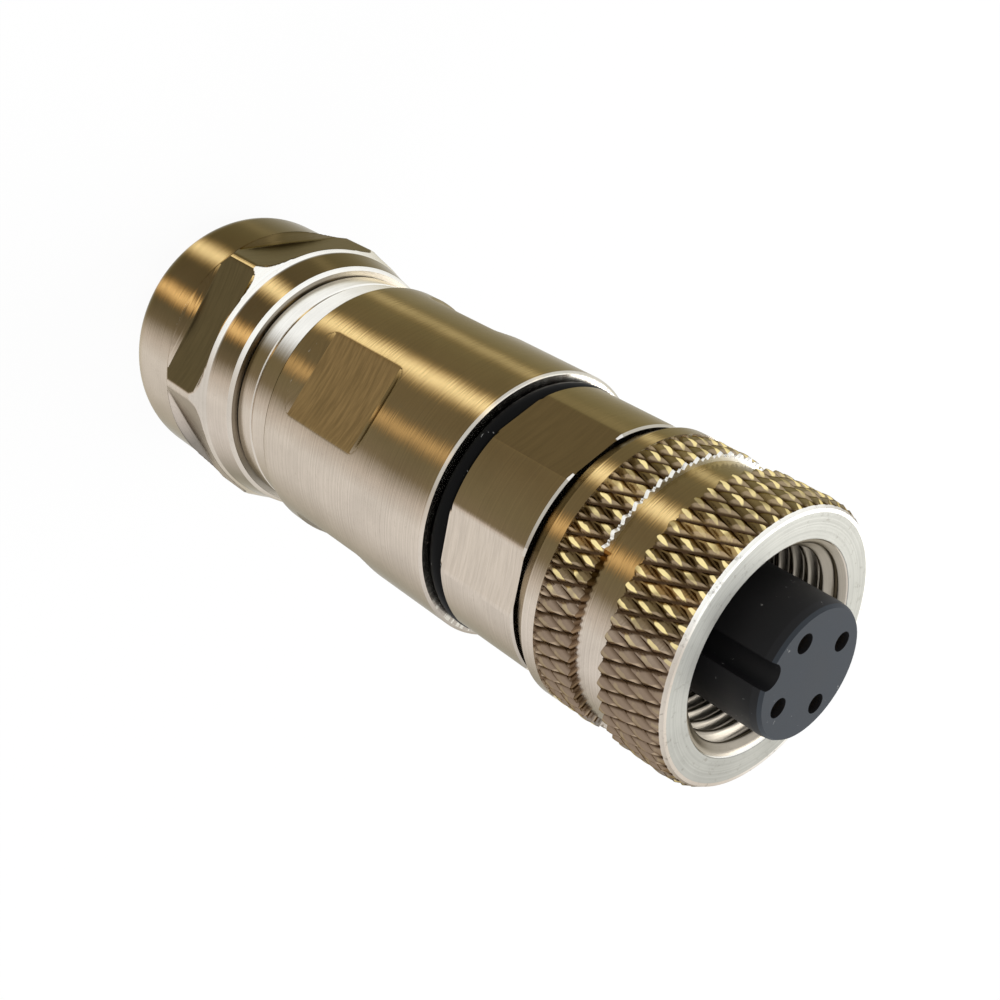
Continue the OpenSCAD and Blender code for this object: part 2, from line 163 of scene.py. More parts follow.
def finishPiece(name, bm, materials, body, slot, *nodes, sharp=24):
    for e in bm.edges:
        e.smooth = not e.is_manifold or e.calc_face_angle(0) < math.radians(sharp)
    for f in bm.faces:
        f.smooth = True
    mesh = bpy.data.meshes.new(name)
    bm.to_mesh(mesh)
    bm.free()
    for m in materials:
        mesh.materials.append(m)
    piece = bpy.data.objects.new(name, mesh)
    bpy.context.collection.objects.link(piece)
    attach(piece, body)
    if nodes:
        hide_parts(*nodes)
    print(name, "made,", len(mesh.polygons), "faces")


# Shader node helpers
def newMaterial(name):
    material = bpy.data.materials.new(name)
    material.use_nodes = True
    tree = material.node_tree
    return material, tree, tree.nodes["Principled BSDF"]


def put(tree, kind, values=None, **settings):
    node = tree.nodes.new(kind)
    for key, value in settings.items():
        setattr(node, key, value)
    for key, value in (values or {}).items():
        node.inputs[key].default_value = value
    return node


def calc(tree, how, a, b=None):
    node = put(tree, "ShaderNodeMath", operation=how)
    for i, value in enumerate((a, b)):
        if value is None:
            continue
        if isinstance(value, (int, float)):
            node.inputs[i].default_value = value
        else:
            tree.links.new(value, node.inputs[i])
    return node.outputs[0]


def ramp(tree, source, low, high, toLow=0.0, toHigh=1.0):
    node = put(tree, "ShaderNodeMapRange", interpolation_type="SMOOTHSTEP")
    for key, value in (("From Min", low), ("From Max", high), ("To Min", toLow), ("To Max", toHigh)):
        node.inputs[key].default_value = value
    tree.links.new(source, node.inputs["Value"])
    return node.outputs["Result"]


# A ramp between two turns about the axis, in degrees
def sweep(tree, turn, low, high, toLow=0.0, toHigh=1.0):
    return ramp(tree, turn, math.radians(low), math.radians(high), toLow, toHigh)


def mixColour(tree, how, factor, a, b):
    node = put(tree, "ShaderNodeMix", data_type="RGBA", blend_type=how)
    for index, value in ((0, factor), (6, a), (7, b)):
        if isinstance(value, (int, float)):
            node.inputs[index].default_value = value
        elif isinstance(value, (tuple, list)):
            node.inputs[index].default_value = (*value, 1)
        else:
            tree.links.new(value, node.inputs[index])
    return node.outputs[2]


def split(tree, source):
    node = put(tree, "ShaderNodeSeparateXYZ")
    tree.links.new(source, node.inputs[0])
    return node.outputs


def noise(tree, where, scale, detail, roughness=0.5, along=False):
    node = put(tree, "ShaderNodeTexNoise", {"Detail": detail, "Roughness": roughness})
    node.noise_dimensions = "1D" if along else "3D"
    tree.links.new(where, node.inputs["W" if along else "Vector"])
    if isinstance(scale, float):
        node.inputs["Scale"].default_value = scale
    else:
        tree.links.new(scale, node.inputs["Scale"])
    return node.outputs["Fac"]


# Square of a value's distance from a centre, as a share of its reach
def offSquared(tree, value, centre, reach):
    share = calc(tree, "DIVIDE", calc(tree, "SUBTRACT", value, centre), reach)
    return calc(tree, "POWER", calc(tree, "ABSOLUTE", share), 2.0)


# How far a share between 0 and 1 is from the nearer end
def fromEnds(tree, share):
    middle = calc(tree, "ABSOLUTE", calc(tree, "SUBTRACT", share, 0.5))
    return calc(tree, "ABSOLUTE", calc(tree, "SUBTRACT", middle, 0.5))


def axisSquared(tree, axes):
    return calc(tree, "ADD", calc(tree, "POWER", axes["X"], 2.0), calc(tree, "POWER", axes["Y"], 2.0))


def addBump(tree, shader, height, strength):
    bump = put(tree, "ShaderNodeBump", {"Strength": strength, "Distance": 0.00001})
    tree.links.new(height, bump.inputs["Height"])
    tree.links.new(bump.outputs["Normal"], shader.inputs["Normal"])


def newGroup(name, inputs, outputs):
    group = bpy.data.node_groups.new(name, "ShaderNodeTree")
    for label, kind, value in inputs:
        socket = group.interface.new_socket(label, in_out="INPUT", socket_type=kind)
        socket.default_value = value
    for label, kind in outputs:
        group.interface.new_socket(label, in_out="OUTPUT", socket_type=kind)
    return group, group.nodes.new("NodeGroupInput"), group.nodes.new("NodeGroupOutput")


# Painted reflection: the room that the shiny plating would mirror, painted into the base colour by the
# turn that a surface faces, in degrees
mirrored = {
    # painted reflection colours by facing turn: brown-gold above, pale below
    "stops": (
        (-60, (0.42, 0.37, 0.31)),
        (8, (0.36, 0.31, 0.21)),
        (24, (0.2, 0.158, 0.078)),
        (36, (0.17, 0.13, 0.055)),
        (54, (0.135, 0.095, 0.038)),
        (80, (0.132, 0.09, 0.038)),
        (98, (0.155, 0.113, 0.053)),
        (105, (0.175, 0.125, 0.065)),
        (113, (0.5, 0.41, 0.32)),
        (121, (0.64, 0.56, 0.475)),
        (137, (0.62, 0.545, 0.475)),
        (150, (0.48, 0.42, 0.365)),
        (163, (0.26, 0.235, 0.205)),
        (195, (0.3, 0.27, 0.24)),
        (240, (0.42, 0.37, 0.31)),
    ),
    # painted highlight bands along the rounds, in place of reflected lamps
    "paintedStreaks": (  # name, middle, reach to each side, colour
        ("Weak Painted Streak", 42.0, 7.5, (0.55, 0.42, 0.19)),
        ("Main Painted Streak", 67.5, 8.5, (1.0, 0.74, 0.34)),
        ("Low Painted Streak", 91.0, 7.0, (0.85, 0.52, 0.19)),
    ),
    "halo": (0.38, 0.3, 0.2),  # share of a painted streak's colour round its core
    "coreSharpness": 2.6,
    # fine hairline flicker in the cores of the painted highlights
    "sparkle": (0.3, 0.55, 0.5, 1.0),
    "paintedWhite": (0.97, 0.96, 0.91),  # painted white reflection on faces that tip towards the mating end, also the colour of the painted top highlight
    # painted pale reflection on tipped faces of the lower turns
    "paintedCream": (0.62, 0.56, 0.49),
    # how far a face tips before it takes the painted white reflection, and the turns where that fades to
    # the pale one
    "tipSlope": (0.24, 0.33),
    "tipFade": (88, 112),
    # painted shade tint for the upper turns
    "darker": (0.3, 0.28, 0.27),
    # turns of the lower side, where the painted reflection turns pale
    "lowFrom": (98, 113),
    "lowTo": (195, 262),
    # turns that take the painted top highlight
    "shineFrom": (-85, -30),
    "shineTo": (77, 94),
    "feather": 0.14,  # radians that fine lines fray the edges of each painted streak
    "hairScale": 12000.0,
    "patchScale": 420.0,
    "patchShare": 0.25,
}


def paintedReflectionGroup():
    m = mirrored
    # Inputs steer the painted white reflection, the turn by place, the painted top highlight and the
    # painted shade
    inputs = [(label, "NodeSocketFloat", 0.0) for label in ("Tilt", "By Place", "Top Painted Highlight", "Painted Shade")]
    inputs.append(("Tip", "NodeSocketFloat", 1.0))
    inputs += [(row[0], "NodeSocketFloat", 1.0) for row in m["paintedStreaks"]]
    outputs = [("Colour", "NodeSocketColor"), ("Low", "NodeSocketFloat")]
    group, start, end = newGroup("paintedRoomReflection", inputs, outputs)
    coords = put(group, "ShaderNodeTexCoord")
    facing = put(group, "ShaderNodeMix", data_type="VECTOR")
    group.links.new(start.outputs["By Place"], facing.inputs[0])
    group.links.new(coords.outputs["Normal"], facing.inputs[4])
    group.links.new(coords.outputs["Object"], facing.inputs[5])
    axes = split(group, facing.outputs[1])
    height = split(group, coords.outputs["Object"])["Z"]
    hairs = noise(group, height, m["hairScale"], 3.0, 0.8, True)
    patches = noise(group, coords.outputs["Object"], m["patchScale"], 3.0)
    both = calc(group, "ADD", hairs, calc(group, "MULTIPLY", patches, m["patchShare"]))
    ragged = calc(group, "SUBTRACT", both, 0.5 + m["patchShare"] / 2)
    ragged = calc(group, "MULTIPLY", ragged, m["feather"])
    wrap = put(group, "ShaderNodeMath", operation="WRAP")
    facingTurn = calc(group, "ARCTAN2", axes["Y"], axes["X"])
    group.links.new(calc(group, "ADD", facingTurn, ragged), wrap.inputs[0])
    wrap.inputs[1].default_value = 1.5 * math.pi
    wrap.inputs[2].default_value = -0.5 * math.pi
    turn = wrap.outputs[0]
    # Painted reflection: a colour ramp by the turn that the surface faces
    around = put(group, "ShaderNodeValToRGB")
    share = calc(group, "DIVIDE", calc(group, "ADD", turn, math.pi / 2), 2 * math.pi)
    group.links.new(share, around.inputs[0])
    bars = around.color_ramp.elements
    while len(bars) < len(m["stops"]):
        bars.new(0.5)
    for bar, (degrees, colour) in zip(bars, m["stops"]):
        bar.position = (degrees + 90) / 360
        bar.color = (*colour, 1)
    back = sweep(group, turn, *m["lowTo"], 1.0, 0.0)
    low = calc(group, "MULTIPLY", sweep(group, turn, *m["lowFrom"]), back)
    group.links.new(low, end.inputs["Low"])
    # Painted shade on the upper turns
    upper = calc(group, "MULTIPLY", calc(group, "SUBTRACT", 1.0, low), start.outputs["Painted Shade"])
    colour = mixColour(group, "MULTIPLY", upper, around.outputs["Color"], m["darker"])
    # Painted highlight bands, each a soft halo round a sharper core
    sparkle = ramp(group, hairs, *m["sparkle"])
    for label, centre, reach, gold in m["paintedStreaks"]:
        square = offSquared(group, turn, math.radians(centre), math.radians(reach))
        inside = calc(group, "MAXIMUM", calc(group, "SUBTRACT", 1.0, square), 0.0)
        peak = calc(group, "POWER", inside, 2.0)
        core = calc(group, "MULTIPLY", calc(group, "POWER", peak, m["coreSharpness"]), sparkle)
        deep = [part * less for part, less in zip(gold, m["halo"])]
        for mask, tone in ((peak, deep), (core, gold)):
            strength = calc(group, "MULTIPLY", mask, start.outputs[label])
            colour = mixColour(group, "MIX", strength, colour, tone)
    # Painted white and pale reflections on faces that tip forwards
    past = calc(group, "MULTIPLY", sweep(group, turn, *m["tipFade"]), back)
    tipped = mixColour(group, "MIX", past, m["paintedWhite"], m["paintedCream"])
    slope = ramp(group, calc(group, "ADD", axes["Z"], start.outputs["Tilt"]), *m["tipSlope"])
    steep = calc(group, "MULTIPLY", slope, start.outputs["Tip"])
    colour = mixColour(group, "MIX", steep, colour, tipped)
    # Painted top highlight over a range of turns
    top = sweep(group, turn, *m["shineTo"], 1.0, 0.0)
    top = calc(group, "MULTIPLY", top, sweep(group, turn, *m["shineFrom"]))
    shine = calc(group, "MULTIPLY", top, start.outputs["Top Painted Highlight"])
    group.links.new(mixColour(group, "MIX", shine, colour, m["paintedWhite"]), end.inputs["Colour"])
    return group


# Fine rings left by the turning tool, specks and soft clouds
machining = {
    "ringScale": 9000.0,
    "ringLean": 0.8,  # rings go on over end faces, where only the radius changes
    "speckScale": 2600.0,
    "speckEdge": (0.56, 0.74),
    "cloudScale": 330.0,
}


def machiningGroup():
    m = machining
    amounts = (("Speck Scale", m["speckScale"]), ("Speck Amount", 0.3))
    inputs = [(label, "NodeSocketFloat", value) for label, value in amounts]
    outputs = [(label, "NodeSocketFloat") for label in ("Height", "Lines", "Specks", "Cloud")]
    group, start, end = newGroup("machining", inputs, outputs)
    place = put(group, "ShaderNodeTexCoord").outputs["Object"]
    axes = split(group, place)
    radius = calc(group, "SQRT", axisSquared(group, axes))
    ringSpot = calc(group, "ADD", calc(group, "MULTIPLY", radius, m["ringLean"]), axes["Z"])
    rings = noise(group, ringSpot, m["ringScale"], 2.0, 0.7, True)
    specks = noise(group, place, start.outputs["Speck Scale"], 3.0, 0.75)
    mask = ramp(group, specks, *m["speckEdge"])
    strong = calc(group, "MULTIPLY", mask, start.outputs["Speck Amount"])
    group.links.new(calc(group, "SUBTRACT", rings, strong), end.inputs["Height"])
    group.links.new(rings, end.inputs["Lines"])
    group.links.new(strong, end.inputs["Specks"])
    group.links.new(noise(group, place, m["cloudScale"], 4.0, 0.6), end.inputs["Cloud"])
    return group


# Painted light on the knurl's diamonds: painted glints, painted pale reflections and painted shade,
# which follow the turns and lengths of its grooves
knurlLightPaint = {
    "bend": 0.22,
    "bendScale": 1500.0,
    "glintLong": 0.4,
    "glintSlim": 0.165,
    "glintEdge": (0.55, 1.0),
    "luckScale": 800.0,  # some painted glints stay dull
    "luck": (0.36, 0.56, 0.25, 1.0),
    # painted pale reflection along one flank of each groove
    "bandAt": 0.8,
    "band": (0.06, 0.14),
    # painted shade at the groove bottoms and along the other grooves
    "line": (0.04, 0.16),
    "shade": (0.0, 0.2),
    # lower turns: painted glints dim and the painted reflection turns pale
    "lowFrom": (101, 119),
    "lowTo": (165, 179),
    "lowDimming": 0.9,
    # painted colours: pale lower reflection, pale flank reflection, shade tint, groove shade and glint
    "lowReflection": (0.27, 0.2, 0.145),
    "paleReflection": (0.56, 0.43, 0.3),
    "paleShare": (0.42, 0.7),
    "shadeTint": (0.5, 0.45, 0.4),
    "grooveShadeColour": (0.06, 0.035, 0.018),
    "glint": (1.0, 0.83, 0.4),
}


def paintedKnurlLightGroup():
    d = knurlLightPaint
    outputs = [(label, "NodeSocketFloat") for label in ("Glint", "Pale Reflection", "Line", "Shade", "Low")]
    group, start, end = newGroup("paintedKnurlLight", [("Middle", "NodeSocketFloat", 0.0)], outputs)
    place = put(group, "ShaderNodeTexCoord").outputs["Object"]
    axes = split(group, place)
    turn = calc(group, "ARCTAN2", axes["Y"], axes["X"])
    spot = calc(group, "MULTIPLY", turn, knurl["around"] / (2 * math.pi))
    spot = calc(group, "ADD", spot, knurl["around"] - 0.5)
    along = calc(group, "SUBTRACT", axes["Z"], start.outputs["Middle"])
    along = calc(group, "DIVIDE", along, knurl["tall"] * mm)
    shifted = calc(group, "SUBTRACT", along, knurl["phase"])
    falling = calc(group, "FRACT", calc(group, "ADD", spot, shifted))
    rising = calc(group, "FRACT", calc(group, "SUBTRACT", spot, shifted))
    wobble = noise(group, place, d["bendScale"], 2.0)
    bent = calc(group, "MULTIPLY", calc(group, "SUBTRACT", wobble, 0.5), d["bend"])
    across = calc(group, "ADD", falling, bent)
    long = offSquared(group, across, 0.5, d["glintLong"])
    slim = offSquared(group, calc(group, "ADD", rising, bent), 0.5, d["glintSlim"])
    oval = ramp(group, calc(group, "ADD", long, slim), *d["glintEdge"], 1.0, 0.0)
    luck = ramp(group, noise(group, place, d["luckScale"], 1.0), *d["luck"])
    low = sweep(group, turn, *d["lowFrom"])
    low = calc(group, "MULTIPLY", low, sweep(group, turn, *d["lowTo"], 1.0, 0.0))
    lit = calc(group, "SUBTRACT", 1.0, calc(group, "MULTIPLY", low, d["lowDimming"]))
    offBand = calc(group, "ABSOLUTE", calc(group, "SUBTRACT", across, d["bandAt"]))
    # Masks for the painted glints, painted pale reflection, painted groove shade and painted shade
    masks = {
        "Glint": calc(group, "MULTIPLY", calc(group, "MULTIPLY", oval, luck), lit),
        "Pale Reflection": ramp(group, offBand, *d["band"], 1.0, 0.0),
        "Line": ramp(group, fromEnds(group, falling), *d["line"], 1.0, 0.0),
        "Shade": ramp(group, fromEnds(group, rising), *d["shade"], 1.0, 0.0),
        "Low": low,
    }
    for label, value in masks.items():
        group.links.new(value, end.inputs[label])
    return group


def paintKnurlLight(tree, groups, base, middle):
    d = knurlLightPaint
    masks = put(tree, "ShaderNodeGroup", {"Middle": middle * mm}, node_tree=groups["paintedKnurlLight"]).outputs
    # lower turns take the painted pale reflection
    base = mixColour(tree, "MIX", masks["Low"], base, d["lowReflection"])
    paleShare = ramp(tree, masks["Low"], 0.0, 1.0, *d["paleShare"])
    pale = mixColour(tree, "MIX", paleShare, base, d["paleReflection"])
    # painted pale reflection band along the grooves
    colour = mixColour(tree, "MIX", masks["Pale Reflection"], base, pale)
    shaded = mixColour(tree, "MULTIPLY", 1.0, base, d["shadeTint"])
    # painted shade, then painted groove shade
    colour = mixColour(tree, "MIX", masks["Shade"], colour, shaded)
    colour = mixColour(tree, "MIX", masks["Line"], colour, d["grooveShadeColour"])
    # painted glint
    return mixColour(tree, "MIX", masks["Glint"], colour, d["glint"])


# Nickel plating with painted reflection, painted highlights and painted shade in its base colour, by
# place; each look names only what differs from the usual one
usualLook = {
    "paintedStreaks": (0.0, 0.0, 0.0),  # strengths of the weak, main and low painted highlight bands
    "tilt": 0.0,  # above 0, more faces count as tipped forward and take the painted white reflection
    "byPlace": 0.0,  # 1 takes the painted reflection's turn from the place, 0 from the normal
    # strength of the painted top highlight
    "shine": 0.0,
    # strength of the painted shade on the upper turns
    "dark": 0.0,
    # strength of the painted white reflection on tipped faces
    "tip": 1.0,
    "plain": 0.0,
    "colour": (0.6, 0.55, 0.48),
    "edge": (0.68, 0.64, 0.54),
    "middle": None,  # height of a knurled band's middle
}
nickelMarks = {
    "clouds": (0.25, 0.75, 0.93, 1.05),
    "rings": (0.3, 0.7, 0.5, 1.45),
    "speck": (0.1, 0.08, 0.05),
}
# Per piece: strengths of the painted highlight bands, painted shade and painted top highlight
metals = {
    "turned": {
        "paintedStreaks": (0.6, 1.0, 0.4), "roughness": 0.24, "specks": 0.12, "lines": 0.16, "bump": 0.25,
        "tip": 0.5,
    },
    "head": {
        "paintedStreaks": (0.1, 0.95, 0.9), "roughness": 0.2, "specks": 0.1, "lines": 0.07, "bump": 0.15,
        # painted shade over the head's upper turns
        "dark": 0.5,
    },
    "shell": {
        "paintedStreaks": (0.1, 0.1, 0.0), "roughness": 0.22, "specks": 0.14, "lines": 0.12, "bump": 0.2,
        "tip": 0.4,
    },
    "band": {"paintedStreaks": (0.85, 1.0, 0.6), "roughness": 0.24, "specks": 0.1, "lines": 0.14, "bump": 0.25},
    # painted top highlight over the neck
    "neck": {"roughness": 0.18, "specks": 0.05, "lines": 0.08, "bump": 0.15, "shine": 1.0},
    "knurled": {
        # knurls take the painted reflection by place
        "paintedStreaks": (0.2, 0.3, 0.2), "roughness": 0.26, "specks": 0.2, "lines": 0.0, "bump": 0.1,
        "tilt": -1.0, "byPlace": 1.0, "edge": (0.35, 0.3, 0.24),
    },
    "faced": {
        "roughness": 0.4, "specks": 0.35, "lines": 0.12, "bump": 0.4,
        "plain": 1.0, "colour": (0.43, 0.43, 0.4),
    },
    # painted pale reflection on the knurls' end rims: every face counts as tipped
    "knurlRimPaintedShine": {
        "roughness": 0.35, "specks": 0.5, "lines": 0.1, "bump": 0.4,
        "tilt": 1.0, "byPlace": 1.0, "edge": (0.35, 0.3, 0.24),
    },
    "inner": {
        "roughness": 0.3, "specks": 0.15, "lines": 0.1, "bump": 0.2,
        "plain": 1.0, "colour": (0.37, 0.335, 0.28),
    },
}
variants = {
    # rounds take the painted reflection by place and never tip to the painted white
    "headRound": ("head", {"tilt": -1.0, "byPlace": 1.0, "edge": (0.3, 0.27, 0.23)}),
    "sleeveRound": ("turned", {"tilt": -1.0, "byPlace": 1.0}),
    "rearKnurl": ("knurled", {}),
    "frontKnurl": ("knurled", {}),
}


def nickelMaterial(name, groups, look):
    material, tree, shader = newMaterial(name)
    # The base colour carries the painted room reflection, painted highlights and painted shade
    room = put(tree, "ShaderNodeGroup", node_tree=groups["paintedRoomReflection"])
    labels = {"Tilt": "tilt", "By Place": "byPlace", "Top Painted Highlight": "shine", "Painted Shade": "dark", "Tip": "tip"}
    for label, key in labels.items():
        room.inputs[label].default_value = look[key]
    for (label, *_), value in zip(mirrored["paintedStreaks"], look["paintedStreaks"]):
        room.inputs[label].default_value = value
    marks = put(tree, "ShaderNodeGroup", {"Speck Amount": look["specks"]}, node_tree=groups["machining"])
    base = mixColour(tree, "MIX", look["plain"], room.outputs["Colour"], look["colour"])
    shade = ramp(tree, marks.outputs["Cloud"], *nickelMarks["clouds"])
    clouded = mixColour(tree, "MULTIPLY", 1.0, base, shade)
    rings = ramp(tree, marks.outputs["Lines"], *nickelMarks["rings"])
    lined = mixColour(tree, "MULTIPLY", look["lines"], clouded, rings)
    colour = mixColour(tree, "MIX", marks.outputs["Specks"], lined, nickelMarks["speck"])
    # Knurls add painted glints, painted pale reflections and painted groove shade
    if look["middle"] is not None:
        colour = paintKnurlLight(tree, groups, colour, look["middle"])
    tree.links.new(colour, shader.inputs["Base Color"])
    shader.inputs["Metallic"].default_value = 1.0
    shader.inputs["Specular Tint"].default_value = (*look["edge"], 1)
    shader.inputs["Roughness"].default_value = look["roughness"]
    addBump(tree, shader, marks.outputs["Height"], look["bump"])
    return material


# Knurls need the height of their own middles, the rounds differ a little from their pieces
def makeNickel(groups):
    rear = nutLow + nut["rearRim"]
    middles = {
        "rearKnurl": rear + nut["rearKnurl"] / 2,
        "frontKnurl": (rear + nut["rearKnurl"] + nut["bandLength"] + nutTop) / 2,
    }
    looks = {name: {**usualLook, **look} for name, look in metals.items() if name != "knurled"}
    for name, (source, changes) in variants.items():
        looks[name] = {**usualLook, **metals[source], **changes, "middle": middles.get(name)}
    return {name: nickelMaterial(name + "Nickel", groups, look) for name, look in looks.items()}


# Milled flats: the painted room reflection without painted highlight bands, tinted on the upper turns,
# with slightly bowed cutter lines across them
milledLooks = {
    # tint scales the painted reflection on the upper turns of each flat
    "headFlat": {"tint": (0.64, 0.66, 0.66), "contrast": 0.1, "roughness": 0.3, "tilt": -1.0},
    "sleeveFlat": {"tint": (1.4, 1.28, 1.15), "contrast": 0.22, "roughness": 0.3, "tilt": -1.0},
    "shellFlat": {"tint": (0.82, 0.8, 0.8), "contrast": 0.08, "roughness": 0.22, "tilt": 0.0},
}
cutterLines = {
    "across": 380.0,
    "along": 4600.0,
    "bow": 30.0,
    "light": (0.3, 0.7),
    "edge": (0.7, 0.65, 0.55),
    "bump": 0.3,
}


def milledMaterial(name, groups):
    look = milledLooks[name]
    material, tree, shader = newMaterial(name)
    room = put(tree, "ShaderNodeGroup", {"Tilt": look["tilt"]}, node_tree=groups["paintedRoomReflection"])
    # no painted highlight bands on the flats
    for label, *_ in mirrored["paintedStreaks"]:
        room.inputs[label].default_value = 0.0
    axes = split(tree, put(tree, "ShaderNodeTexCoord").outputs["Object"])
    bowed = calc(tree, "MULTIPLY", axisSquared(tree, axes), cutterLines["bow"])
    bowed = calc(tree, "ADD", axes["Z"], bowed)
    spread = put(tree, "ShaderNodeCombineXYZ")
    scaled = ((axes["X"], "across"), (axes["Y"], "across"), (bowed, "along"))
    for index, (value, key) in enumerate(scaled):
        tree.links.new(calc(tree, "MULTIPLY", value, cutterLines[key]), spread.inputs[index])
    grain = noise(tree, spread.outputs[0], 1.0, 3.0, 0.65)
    # The tint lightens or deepens the painted reflection above the lower turns
    above = calc(tree, "SUBTRACT", 1.0, room.outputs["Low"])
    tinted = mixColour(tree, "MULTIPLY", above, room.outputs["Colour"], look["tint"])
    contrast = look["contrast"]
    shade = ramp(tree, grain, *cutterLines["light"], 1.0 - contrast, 1.0 + contrast)
    tree.links.new(mixColour(tree, "MULTIPLY", 1.0, tinted, shade), shader.inputs["Base Color"])
    shader.inputs["Metallic"].default_value = 1.0
    shader.inputs["Specular Tint"].default_value = (*cutterLines["edge"], 1)
    shader.inputs["Roughness"].default_value = look["roughness"]
    addBump(tree, shader, grain, cutterLines["bump"])
    return material


gold = {"tone": (0.82, 0.56, 0.2), "clouds": (0.25, 0.75, 0.85, 1.1), "roughness": 0.3, "bump": 0.3}


def goldMaterial(groups):
    material, tree, shader = newMaterial("goldPlate")
    marks = put(tree, "ShaderNodeGroup", node_tree=groups["machining"])
    shade = ramp(tree, marks.outputs["Cloud"], *gold["clouds"])
    tree.links.new(mixColour(tree, "MULTIPLY", 1.0, gold["tone"], shade), shader.inputs["Base Color"])
    shader.inputs["Metallic"].default_value = 1.0
    shader.inputs["Roughness"].default_value = gold["roughness"]
    addBump(tree, shader, marks.outputs["Height"], gold["bump"])
    return material


# Moulded and rubber surfaces: front faces a little paler than the sides as painted light, the sides
# darker as painted shade, with dust specks
plasticLooks = {
    "insertPlastic": {
        # side is the painted shade colour, face the paler lit colour
        "side": (0.009, 0.009, 0.01), "face": (0.029, 0.035, 0.043),
        "roughness": 0.55, "dust": 0.3, "grain": 0.2, "shine": 0.2,
    },
    "clampPlastic": {
        "side": (0.02, 0.02, 0.021), "face": (0.03, 0.03, 0.032),
        "roughness": 0.5, "dust": 0.1, "grain": 0.3, "shine": 0.4,
    },
    "sealRubber": {
        "side": (0.004, 0.004, 0.004), "face": (0.004, 0.004, 0.004),
        "roughness": 0.45, "dust": 0.6, "grain": 0.2, "shine": 0.06,
    },
}

plasticMarks = {
    "clouds": (0.25, 0.75, 0.85, 1.15),
    "tipped": (0.15, 0.3),
    "dustScale": 1900.0,
    "dustEdge": (0.82, 1.0),
    "dustTone": (0.5, 0.5, 0.48),
    "grainScale": 6000.0,
}


def plasticMaterial(name, groups):
    look = plasticLooks[name]
    material, tree, shader = newMaterial(name)
    coords = put(tree, "ShaderNodeTexCoord")
    settings = {"Speck Scale": plasticMarks["dustScale"], "Speck Amount": 1.0}
    marks = put(tree, "ShaderNodeGroup", settings, node_tree=groups["machining"])
    # Painted shade: faces that turn away from the front take the darker side colour
    front = ramp(tree, split(tree, coords.outputs["Normal"])["Z"], *plasticMarks["tipped"])
    base = mixColour(tree, "MIX", front, look["side"], look["face"])
    shade = ramp(tree, marks.outputs["Cloud"], *plasticMarks["clouds"])
    clouded = mixColour(tree, "MULTIPLY", 1.0, base, shade)
    dust = ramp(tree, marks.outputs["Specks"], *plasticMarks["dustEdge"])
    dust = calc(tree, "MULTIPLY", dust, look["dust"])
    dusted = mixColour(tree, "MIX", dust, clouded, plasticMarks["dustTone"])
    tree.links.new(dusted, shader.inputs["Base Color"])
    shader.inputs["Specular IOR Level"].default_value = look["shine"]
    rough = look["roughness"]
    rough = ramp(tree, marks.outputs["Cloud"], 0.2, 0.8, rough * 0.9, rough * 1.1)
    tree.links.new(rough, shader.inputs["Roughness"])
    grain = noise(tree, coords.outputs["Object"], plasticMarks["grainScale"], 2.0)
    addBump(tree, shader, grain, look["grain"])
    return material


# Coupling nut: turned body with an internal thread and two knurled bands
nut = {
    "radius": 8.3,
    "bandDepth": 0.5,
    "coreDepth": 0.1,  # the knurls' ground, below the smooth band
    "rearRim": 1.7,
    "rearKnurl": 2.5,
    "bandLength": 2.15,
    "frontChamfer": 0.4,
    "chamferLength": 0.65,
    "rearChamfer": 0.8,
    "rearSlope": 0.6,
    "mouth": 6.2,
    "mouthRound": ((0.06, 0.0, 0.05), (-0.02, 0.1, 0.1), (-0.16, 0.16, 0.1)),  # outwards, down, step
    "mouthEdge": 0.01,
    "faceDepth": 0.05,
    "minor": 5.46,
    "major": 6.0,
    "pitch": 1.0,
    "threadLength": 6.5,
    "threadEnd": 0.35,
    "threadPhase": 0.03,
    "rearBore": 6.55,
    "flangeBore": 5.05,
    "flangeLow": 1.2,
    "flangeThick": 1.5,
    "relief": 6.1,
    "segments": 240,
}


